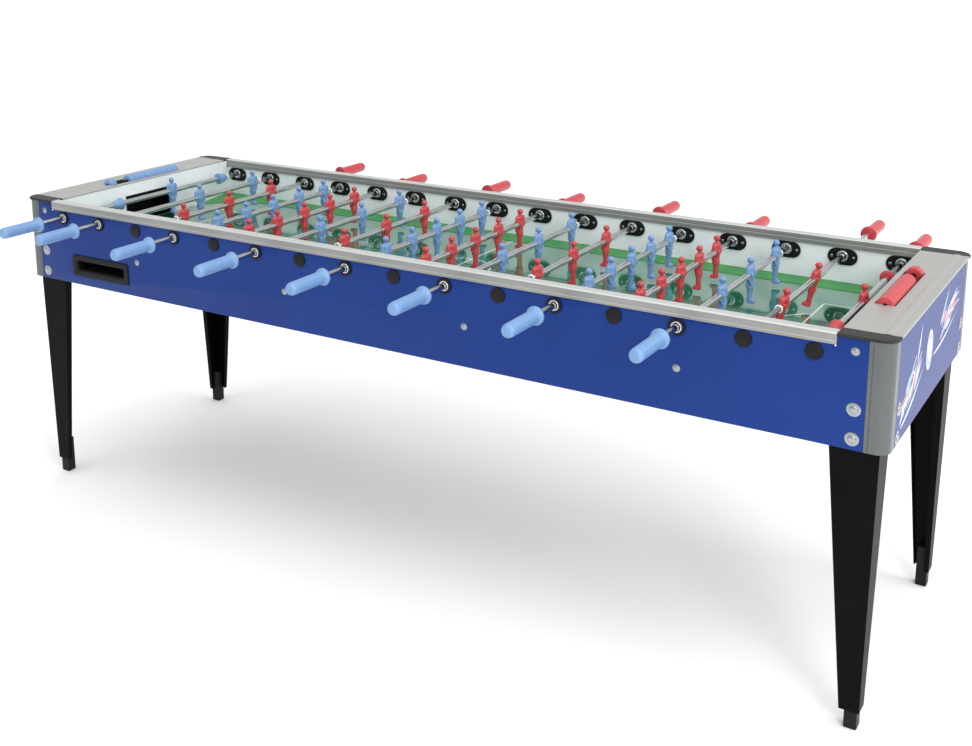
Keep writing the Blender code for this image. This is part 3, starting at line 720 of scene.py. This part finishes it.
def corner_post():
    """Rounded aluminium corner, with a fine groove along each straight face."""
    x, y = HALF_LENGTH, HALF_WIDTH
    inner_x, inner_y = x - BOARD + GAP, -(y - BOARD + GAP)
    groove = [(0.0076, 0.0), (0.0081, 0.0008), (0.0089, 0.0008), (0.0094, 0.0)]
    points = [(x - POST_WIDTH, -y)]
    points += [(x - POST_WIDTH + a, -y + depth) for a, depth in groove]
    points += arc((x - POST_RADIUS, -y + POST_RADIUS), POST_RADIUS, 270, 360, 20)
    points += [(x - depth, -y + POST_WIDTH - a) for a, depth in reversed(groove)]
    points += [(x, -y + POST_WIDTH), (inner_x, -y + POST_WIDTH)]
    points += [(inner_x, inner_y), (x - POST_WIDTH, inner_y)]
    bm = bmesh.new()
    put_prism(bm, points, PANEL_BOTTOM, TOP - TOP_PLATE - GAP, "Z")
    return to_mesh(bm, "corner_post", 28.0)


def score_ring():
    """One ring of the counter: rounded shoulders, a shallow finger groove and a bore for the guide rod."""
    section = [(0.0003, 0.0062), (0.0003, 0.018), (0.0008, 0.019), (0.0018, 0.0195), (0.004, 0.0197)]
    section += [(0.008, 0.0198), (0.0104, 0.0197), (0.012, 0.0194), (0.0136, 0.0197), (0.016, 0.0198)]
    section += [(0.02, 0.0197), (0.0222, 0.0195), (0.0232, 0.019), (0.0237, 0.018), (0.0237, 0.0062)]
    return turned("score_ring", section, 48, 50.0, closed=True)


INKS = ("ink_white", "ink_red", "ink_green", "ink_violet")
INK_ORDER = (0, 1, 0, 2, 1, 0, 3, 2)
LONG_STROKES = (
    ((-0.3, 0.682), (-0.19, 0.7), (-0.095, 0.762), 0.0046),
    ((0.0, 0.752), (0.12, 0.752), (0.255, 0.788), 0.0036),
    ((-0.17, 0.79), (-0.15, 0.832), (-0.14, 0.868), 0.005),
    ((0.06, 0.806), (0.115, 0.846), (0.14, 0.878), 0.005),
)
BADGE_Y, BADGE_Z, BADGE_SQUEEZE = -0.045, 0.778, 0.66
BADGE_RINGS = ((0.047, "ink_white", 0.0004), (0.038, "ink_violet", 0.0005), (0.028, "ink_white", 0.0006))


def sweeps():
    """Brush strokes of the end panel's pattern as (start, middle, end, greatest half width, ink, layer)."""
    random.seed(7)
    made = []
    for centre, lean in (((-0.215, 0.752), 0.62), ((0.165, 0.806), 0.3)):
        for index in range(15):
            ink = INKS[INK_ORDER[index % len(INK_ORDER)]]
            angle = lean + random.uniform(-0.45, 0.45)
            length = random.uniform(0.055, 0.125)
            y = centre[0] + random.uniform(-0.062, 0.062)
            z = centre[1] + (y - centre[0]) * math.tan(lean) * 0.55 + random.uniform(-0.022, 0.022)
            bend = random.uniform(-0.022, 0.01)
            along = Vector((math.cos(angle), math.sin(angle))) * length / 2
            start, end = Vector((y, z)) - along, Vector((y, z)) + along
            for point in (start, end):
                point.y = min(max(point.y, 0.672), 0.876)
            middle = (start + end) / 2 + Vector((math.sin(angle), -math.cos(angle))) * bend
            made.append((start, middle, end, random.uniform(0.0026, 0.0062), ink, index))
    for start, middle, end, width in LONG_STROKES:
        made.append((Vector(start), Vector(middle), Vector(end), width, "ink_white", 16))
    return made


def graphic(ink):
    """The strokes of one ink and its share of the oval badge, each a fraction of a millimetre thick."""
    bm = bmesh.new()
    face = HALF_LENGTH + 0.0001
    for a, b, c, widest, colour, layer in sweeps():
        for grow, printed in ((0.0016, "ink_white"), (0.0, colour)):
            if printed != ink or (grow and colour == "ink_white"):
                continue
            left, right = [], []
            for i in range(21):
                t = i / 20
                point = a * (1 - t) ** 2 + b * 2 * t * (1 - t) + c * t * t
                direction = ((b - a) * (1 - t) + (c - b) * t).normalized()
                across = Vector((-direction.y, direction.x))
                half = max(widest * math.sin(math.pi * min(0.02 + t ** 0.7, 0.985)), 0.0002) + grow
                left.append(tuple(point + across * half))
                right.append(tuple(point - across * half))
            height = 0.00002 * layer + (0.0 if grow else 0.00001)
            put_prism(bm, left + right[::-1], face - 0.0004, face + height, "X")
    for radius, printed, height in BADGE_RINGS:
        if printed == ink:
            circle = arc((0, 0), radius, 0, 350, 35)
            oval = [(BADGE_Y + BADGE_SQUEEZE * y, BADGE_Z + z) for y, z in circle]
            put_prism(bm, oval, face - 0.0004, face + height, "X")
    return to_mesh(bm, ink)


def make_ends():
    board, wall, lining, plate, bolt = end_board(), goal_wall(), mouth_lining(), end_plate(), leg_bolt()
    edge, rod, cap, post, ring = slot_edge(), guide_rod(), corner_cap(), corner_post(), score_ring()
    other_cap, other_post = mirrored(cap), mirrored(post)
    inks = {ink: graphic(ink) for ink in INKS}
    for end, base in ENDS:
        near, far = ("front", "back") if end == "right" else ("back", "front")
        colour = "red" if end == "right" else "blue"
        block, single = f"{end}_score_rings", f"{end}_score_ring_single"
        panel = [f"{end}_end_panel"]
        piece(f"{end}_end_board", board, base, "laminate", "black", flat=True, stands_for=panel)
        piece(f"{end}_goal_board", wall, base, "white", stands_for=[f"{end}_goal_wall"])
        piece(f"{end}_goal_lining", lining, base, "black")
        piece(f"{end}_top_plate", plate, base, "top", flat=True, stands_for=[f"{end}_end_top"])
        piece(f"{end}_slot_edge", edge, base, "black")
        piece(f"{end}_guide_rod", rod, base, "black")
        for side, caps, posts in ((near, cap, post), (far, other_cap, other_post)):
            piece(f"corner_cap_{side}_{end}", caps, base, "cap", flat=True)
            piece(f"post_{side}_{end}", posts, base, "post", stands_for=[f"corner_post_{side}_{end}"])
        for ink, mesh in inks.items():
            piece(f"{end}_graphic_{ink[4:]}", mesh, base, ink)
        places = [(HALF_LENGTH, y, z) for y in END_BOLTS_Y for z in END_BOLTS_Z]
        for count, place in enumerate(places, 1):
            turn = Matrix.Translation(place) @ Matrix.Rotation(math.pi / 2, 4, "Z")
            piece(f"{end}_bolt_{count:02d}", bolt, base @ turn, "bolt")
        for index in range(9):
            place = base @ Matrix.Translation((COUNTER_X, SLOT[0] + 0.001 + index * BEAD, COUNTER_Z))
            stands = [] if index else [block]
            piece(f"{end}_ring_{index + 1}", ring, place, colour, body=block, stands_for=stands)
        place = base @ Matrix.Translation((COUNTER_X, SLOT[1] - 0.001 - BEAD, COUNTER_Z))
        piece(f"{end}_ring_10", ring, place, colour, body=single, stands_for=[single])


# ---------------------------------------------------------------- playing surface and rails
def make_field():
    x_end, y_end = GOAL_WALL_X - GAP, HALF_WIDTH - BOARD - GAP
    bm = bmesh.new()
    put_box(bm, (-x_end, x_end), (-y_end, y_end), (GLASS_BOTTOM, GLASS_TOP))
    piece("pitch", to_mesh(bm, "pitch"), CABINET, "glass", stands_for=["playfield"])
    edge, thin = GLASS_TOP + RAMP_RISE, GLASS_TOP + 0.0012
    section = [(-y_end, GLASS_TOP + 0.0002), (-y_end, edge)]
    for step in range(1, 7):
        t = step / 6
        section.append((-y_end + RAMP_WIDTH * t, thin + (edge - thin) * (1 - t) ** 1.15))
    section.append((-y_end + RAMP_WIDTH + 0.0006, GLASS_TOP + 0.0002))
    bm = bmesh.new()
    put_prism(bm, section, -x_end, x_end, "X")
    strip = to_mesh(bm, "edge_strip", 50.0)
    for side, base in SIDES:
        piece(f"{side}_edge_strip", strip, base, "ramp")
    x, y = x_end, -y_end
    outline = [(x, y), (x, y + CORNER_RAMP), (x - CORNER_RAMP, y)]
    under = [(a, b, GLASS_TOP + GAP) for a, b in outline]
    over = [(a, b, z) for (a, b), z in zip(outline, (edge + 0.003, thin, thin))]
    bm = bmesh.new()
    put_loft(bm, [under, over])
    corner = to_mesh(bm, "corner_ramp")
    other = mirrored(corner)
    for end, base in ENDS:
        near, far = ("front", "back") if end == "right" else ("back", "front")
        piece(f"corner_ramp_{near}_{end}", corner, base, "ramp")
        piece(f"corner_ramp_{far}_{end}", other, base, "ramp")


def make_rails():
    y_out, y_in = -HALF_WIDTH - TRIM_OUT, -RAIL_INNER_Y
    inner_groove = ((0.0, 0.015), (0.001, 0.0142), (0.001, 0.0132), (0.0, 0.0124))
    outer_groove = ((0.0, 0.0165), (0.0008, 0.0172), (0.0008, 0.0182), (0.0, 0.0189))
    section = [(y_out, RAIL_BOTTOM), (y_in, RAIL_BOTTOM)]
    section += [(y_in - deep, TOP - down) for deep, down in inner_groove]
    section += arc((y_in - 0.0035, TOP - 0.0035), 0.0035, 0, 90, 6)
    section += arc((y_out + 0.005, TOP - 0.005), 0.005, 90, 180, 8)
    section += [(y_out + deep, TOP - down) for deep, down in outer_groove]
    half = GOAL_WALL_X - GAP
    bm = bmesh.new()
    put_prism(bm, section, -half, half, "X")
    rail = to_mesh(bm, "rail", 28.0)
    # faces pointing sideways get the darker colour as painted shade, the top faces the lighter one as painted
    # light
    two_surfaces(rail, lambda normal: abs(normal.y) > 0.9)
    bm = bmesh.new()
    for end in (-1, 1):
        x = sorted((end * half, end * (GOAL_WALL_X - 0.003)))
        put_box(bm, x, (y_out + 0.0002, y_out + 0.0045), (RAIL_BOTTOM - 0.0034, RAIL_BOTTOM))
    round_edges(bm, 0.0005, 2)
    nibs = to_mesh(bm, "rail_nibs")
    for side, base in SIDES:
        piece(f"{side}_rail_nibs", nibs, base, "bush")
        piece(f"{side}_rail_profile", rail, base, "rail", "rail_painted_shade_side", stands_for=[f"{side}_rail"])


# ---------------------------------------------------------------- legs and feet
def make_legs():
    """The CAD's legs, feet and tray keep their shape; their folds and edges are rounded off."""
    for name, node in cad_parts.items():
        if name.startswith(("leg_", "foot_", "ball_tray")):
            node.data.materials.clear()
            node.data.materials.append(MATERIALS["steel" if name.startswith("leg_") else "black"])
            bevel = node.modifiers.new("Fold", "BEVEL")
            bevel.width = 0.0016
            bevel.segments = 3
            bevel.limit_method = "ANGLE"
            bevel.angle_limit = math.radians(50)
            bevel.harden_normals = True


# ---------------------------------------------------------------- rods, men and handles
def put_oval(bm, levels, sides=20, power=2.4, y=0.0):
    """Lofts flattened ovals. A level is z, centre x, half depth, half width and, if any, centre y times y."""
    def bulge(value):
        return math.copysign(abs(value) ** (2 / power), value)

    rings = []
    for z, x, deep, wide, *shift in levels:
        middle = y * (shift[0] if shift else 0.0)
        angles = [2 * math.pi * i / sides for i in range(sides)]
        rings.append([(x + deep * bulge(math.cos(a)), middle + wide * bulge(math.sin(a)), z) for a in angles])
    put_loft(bm, rings)


BODY_LEVELS = (
    (0.025, 0.0, 0.0052, 0.009), (0.0232, 0.0, 0.008, 0.0138), (0.019, 0.0002, 0.0098, 0.0158),
    (0.01, 0.0006, 0.0108, 0.0152), (0.0, 0.0004, 0.0108, 0.014), (-0.01, 0.0002, 0.0098, 0.0122),
    (-0.017, 0.0, 0.0084, 0.0106), (-0.0195, 0.0, 0.0082, 0.0104), (-0.024, 0.0002, 0.0092, 0.0116),
    (-0.033, 0.0004, 0.0096, 0.012), (-0.0352, 0.0004, 0.009, 0.0114), (-0.0356, 0.0004, 0.0074, 0.0096),
    (-0.046, 0.0004, 0.0068, 0.0086), (-0.054, 0.0002, 0.006, 0.0076), (-0.061, 0.0004, 0.0068, 0.0074),
    (-0.0645, 0.001, 0.008, 0.0074),
)
BOOT_LEVELS = (
    (-0.0635, 0.002, 0.007, 0.0072), (-0.066, 0.0032, 0.0098, 0.008), (-0.07, 0.004, 0.011, 0.0084),
    (-0.0735, 0.004, 0.0108, 0.0082), (-0.074, 0.004, 0.01, 0.0076),
)
ARM_LEVELS = (
    (0.0232, 0.0, 0.0046, 0.0044, 0.0125), (0.0195, 0.0, 0.0062, 0.005, 0.0152),
    (0.012, -0.0002, 0.006, 0.0046, 0.0168), (0.005, -0.0002, 0.0054, 0.0042, 0.0178),
    (0.0035, 0.0, 0.0046, 0.0036, 0.0178), (-0.004, 0.0008, 0.0044, 0.0034, 0.0176),
    (-0.011, 0.0026, 0.004, 0.0034, 0.0156), (-0.017, 0.0044, 0.0038, 0.0034, 0.0128),
    (-0.0225, 0.0056, 0.0038, 0.0034, 0.0108), (-0.0252, 0.0058, 0.0026, 0.0024, 0.01),
)
NECK_LEVELS = ((0.0215, 0, 0.0054, 0.006), (0.0262, 0.0002, 0.004, 0.0042), (0.03, 0.0005, 0.004, 0.0042))
HAIRLINE = {"plane_co": (0.0026, 0, 0.0378), "plane_no": (0.78, 0, -0.62), "clear_outer": True}


def ball():
    bm = bmesh.new()
    bmesh.ops.create_uvsphere(bm, u_segments=32, v_segments=24, radius=1.0)
    return bm


def player():
    """One moulded player facing +x, with the rod through the chest and a plain face."""
    bm = bmesh.new()
    put_oval(bm, BODY_LEVELS)
    put_oval(bm, BOOT_LEVELS, power=3.4)
    for side in (-1, 1):
        put_oval(bm, ARM_LEVELS, 14, 2.0, side)
    boss = bmesh.new()
    put_turned(boss, [(-0.015, 0.0098), (-0.0142, 0.0112), (0.0142, 0.0112), (0.015, 0.0098)], 32)
    neck = bmesh.new()
    put_oval(neck, NECK_LEVELS, 16, 2.0)
    head = ball()
    for v in head.verts:
        x, y, z = v.co
        jaw = 1.0 - 0.2 * max(0.0, -z)
        v.co = Vector((0.0004 + 0.0082 * x * jaw, 0.007 * y * jaw, 0.035 + 0.0086 * z))
        front = max(0.0, x) ** 6
        nose = math.exp(-((y / 0.2) ** 2) - ((z + 0.1) / 0.24) ** 2)
        brow = math.exp(-((z - 0.24) / 0.13) ** 2) * 0.35
        socket = math.exp(-(((abs(y) - 0.36) / 0.19) ** 2) - ((z - 0.03) / 0.15) ** 2)
        chin = math.exp(-((y / 0.28) ** 2) - ((z + 0.72) / 0.2) ** 2) * 0.5
        mouth = math.exp(-((y / 0.32) ** 2) - ((z + 0.46) / 0.075) ** 2) * 0.4
        v.co.x += 0.0021 * (front * (nose + brow - 0.55 * socket - mouth) + max(0.0, x) * chin)
    hair = ball()
    for v in hair.verts:
        x, y, z = v.co
        v.co = Vector((-0.0006 + 0.0086 * x, 0.0079 * y, 0.0357 + 0.0083 * z))
    bmesh.ops.bisect_plane(hair, geom=hair.verts[:] + hair.edges[:] + hair.faces[:], **HAIRLINE)
    bmesh.ops.holes_fill(hair, edges=hair.edges[:])
    for part in (boss, neck, head, hair):
        absorb(bm, part)
    obj = link("player", to_mesh(bm, "player"))
    remesh = obj.modifiers.new("Mould", "REMESH")
    remesh.mode = "VOXEL"
    remesh.voxel_size = 0.00045
    smooth = obj.modifiers.new("Soften", "SMOOTH")
    smooth.factor = 0.5
    smooth.iterations = 1
    fewer = obj.modifiers.new("Fewer", "DECIMATE")
    fewer.ratio = 0.2
    mesh = bake(obj)
    bore = bmesh.new()
    put_turned(bore, [(-0.03, TUBE_R + 0.0001), (0.03, TUBE_R + 0.0001)], 40)
    mesh = carved(mesh, bore, "player")
    mesh.set_sharp_from_angle(angle=math.radians(55))
    return mesh


def handle():
    """Grip along -y from its flange at y = 0: fine flutes, a rounded tip and a rolled flange."""
    # place along the grip, radius, how much of the flutes' depth it has
    stations = (
        (0.0, 0.012, 0), (-0.0003, 0.0205, 0), (-0.0016, 0.0222, 0), (-0.004, 0.0225, 0),
        (-0.0066, 0.0221, 0), (-0.0085, 0.0207, 0), (-0.0104, 0.0184, 0), (-0.013, 0.0172, 0),
        (-0.0165, 0.0167, 0.2), (-0.022, 0.0165, 1.0), (-0.05, 0.0165, 1.0), (-0.08, 0.0165, 1.0),
        (-0.105, 0.0165, 1.0), (-0.118, 0.0165, 0.8), (-0.124, 0.0163, 0.2), (-0.1285, 0.0156, 0),
        (-0.1318, 0.0142, 0), (-0.1339, 0.012, 0), (-0.1348, 0.009, 0), (-0.135, 0.005, 0),
    )
    sides, flutes, flute_depth = 96, 12, 0.00055
    rings = []
    for along, radius, fluted in stations:
        ring = []
        for i in range(sides):
            angle = 2 * math.pi * i / sides
            r = radius - fluted * flute_depth * (0.5 - 0.5 * math.cos(flutes * angle)) ** 2
            ring.append((r * math.sin(angle), along, r * math.cos(angle)))
        rings.append(ring)
    bm = bmesh.new()
    put_loft(bm, rings)
    return to_mesh(bm, "handle", 50.0)


def goalie_collar():
    """Stop of the goalkeeper's rod: a disc with a bulb running outwards; +y is outwards."""
    section = [(-0.004, 0.0081), (-0.004, 0.0176), (-0.003, 0.0187), (-0.0012, 0.019), (0.001, 0.0188)]
    section += [(0.0026, 0.0176), (0.0036, 0.0158), (0.006, 0.015), (0.011, 0.0152), (0.017, 0.0146)]
    section += [(0.023, 0.013), (0.0275, 0.0112), (0.0298, 0.0096), (0.03, 0.0081)]
    return turned("goalie_collar", section, 40, 50.0, closed=True)


def inner_rod():
    end = HALF_WIDTH + 0.001
    profile = [(-0.208, 0.0045), (-0.2065, INNER_R), (end, INNER_R), (end + 0.0002, INNER_R - 0.0002)]
    return turned("inner_rod", profile, 32)


def tube_bush():
    """White nylon bush in the open end of a tube, its lip outside."""
    section = [(0.0002, 0.0068), (0.0002, 0.009), (0.0006, 0.0097), (0.0018, 0.01), (0.003, 0.0097)]
    section += [(0.0036, 0.0088), (0.0036, 0.0068)]
    return turned("tube_bush", section, 40, 50.0, closed=True)


def tube(kind, facts):
    bore, start, end = 0.0066, -(HANDLE_CLEAR + facts["travel"]) - 0.048, facts["outermost"] + TUBE_END
    section = [(start, bore), (start, TUBE_R), (end - 0.0004, TUBE_R), (end, TUBE_R - 0.0004), (end, bore)]
    return turned(f"tube_{kind}", section, 40, closed=True)


def make_rods():
    man, grip, collar, inner, bush = player(), handle(), goalie_collar(), inner_rod(), tube_bush()
    tubes = {kind: tube(kind, facts) for kind, facts in ROD_KINDS.items()}
    for team in ("blue", "red"):
        for kind, place in zip(TEAM_KINDS, TEAM_PLACES):
            number = place if team == "blue" else ROD_COUNT + 1 - place
            facts = ROD_KINDS[kind]
            hinge = Matrix.Translation((rod_x(number), CABINET_Y, ROD_Z))
            pushed = 0.0
            if team == "red":
                hinge = hinge @ HALF_TURN
            else:
                pushed = facts["travel"] - BLUE_PUSHED_IN
            rod = hinge @ Matrix.Translation((0.0, pushed, 0.0))
            if number == LEANING_ROD:
                rod = rod @ Matrix.Rotation(-LEAN, 4, "Y")
            label = f"rod_{number:02d}"
            body, inner_body = f"{team}_{label}", f"inner_{label}"
            piece(f"{label}_inner", inner, hinge, "rod", body=inner_body, stands_for=[inner_body])
            piece(f"{label}_tube", tubes[kind], rod, "chrome", body=body, stands_for=[body])
            flange = Matrix.Translation((0.0, -(HANDLE_CLEAR + facts["travel"]), 0.0))
            piece(f"{label}_handle", grip, rod @ flange, team, body=body)
            tip = Matrix.Translation((0.0, facts["outermost"] + TUBE_END, 0.0))
            piece(f"{label}_bush", bush, rod @ tip, "bush", body=body)
            for index, along in enumerate(facts["men"], 1):
                place = rod @ Matrix.Translation((0.0, along, 0.0))
                piece(f"{label}_man_{index}", man, place, team, body=body)
            if kind == "goalie":
                out = Matrix.Translation((0.0, COLLAR_AT, 0.0))
                piece(f"{label}_collar_a", collar, rod @ out, team, body=body)
                piece(f"{label}_collar_b", collar, rod @ HALF_TURN @ out, team, body=body)


# ---------------------------------------------------------------- studio
def make_sky():
    """A pale sky that is brightest near the horizon."""
    world = bpy.data.worlds.new("studio")
    bpy.context.scene.world = world
    world.use_nodes = True
    tree = world.node_tree
    axes = tree.nodes.new("ShaderNodeSeparateXYZ")
    tree.links.new(tree.nodes.new("ShaderNodeTexCoord").outputs["Generated"], axes.inputs[0])
    ramp = tree.nodes.new("ShaderNodeValToRGB")
    tree.links.new(axes.outputs["Z"], ramp.inputs["Fac"])
    tree.links.new(ramp.outputs["Color"], tree.nodes["Background"].inputs["Color"])
    low, high = ramp.color_ramp.elements
    low.position, low.color = 0.06, (0.95, 0.95, 0.95, 1.0)
    high.position, high.color = 0.45, (0.52, 0.52, 0.53, 1.0)


def make_floor():
    bm = bmesh.new()
    bmesh.ops.create_grid(bm, x_segments=1, y_segments=1, size=60.0)
    floor = link("floor", to_mesh(bm, "floor"))
    paint = Surface("pale_floor", roughness=0.9)
    paint.colour(paint.mix(paint.spread(paint.noise(1.5), 0.0, 1.0), (0.94, 0.94, 0.94), (0.96, 0.96, 0.96)))
    floor.data.materials.append(paint.material)


def area_light(name, place, aim, size, watts):
    light = bpy.data.lights.new(name, "AREA")
    light.shape = "SQUARE"
    light.size = size
    light.energy = watts
    obj = link(name, light)
    obj.location = place
    obj.rotation_euler = (Vector(aim) - Vector(place)).to_track_quat("-Z", "Y").to_euler()


def make_lights():
    sun = bpy.data.lights.new("sky_panel", "SUN")
    sun.energy = 2.6
    sun.angle = math.radians(100)
    link("sky_panel", sun).rotation_euler = (math.radians(12), math.radians(14), 0.0)
    area_light("key", (3.4, -2.8, 2.6), (0.7, 0.0, 0.75), 1.2, 50.0)
    area_light("end", (4.2, 0.6, 1.9), (1.2, 0.0, 0.75), 1.4, 30.0)


def make_camera():
    camera = bpy.data.cameras.new("camera")
    camera.lens = 46.2
    camera.sensor_width = 36.0
    camera.shift_x = 0.0319
    camera.shift_y = -0.1986
    obj = link("camera", camera)
    obj.location = (1.794, -2.924, 1.725)
    obj.rotation_euler = (math.radians(78.15), math.radians(0.25), math.radians(32.02))
    bpy.context.scene.camera = obj
    bpy.context.scene.view_settings.view_transform = "Standard"


make_sky()
make_floor()
make_lights()
make_camera()
make_sides()
make_ends()
make_field()
make_rails()
make_legs()
make_rods()
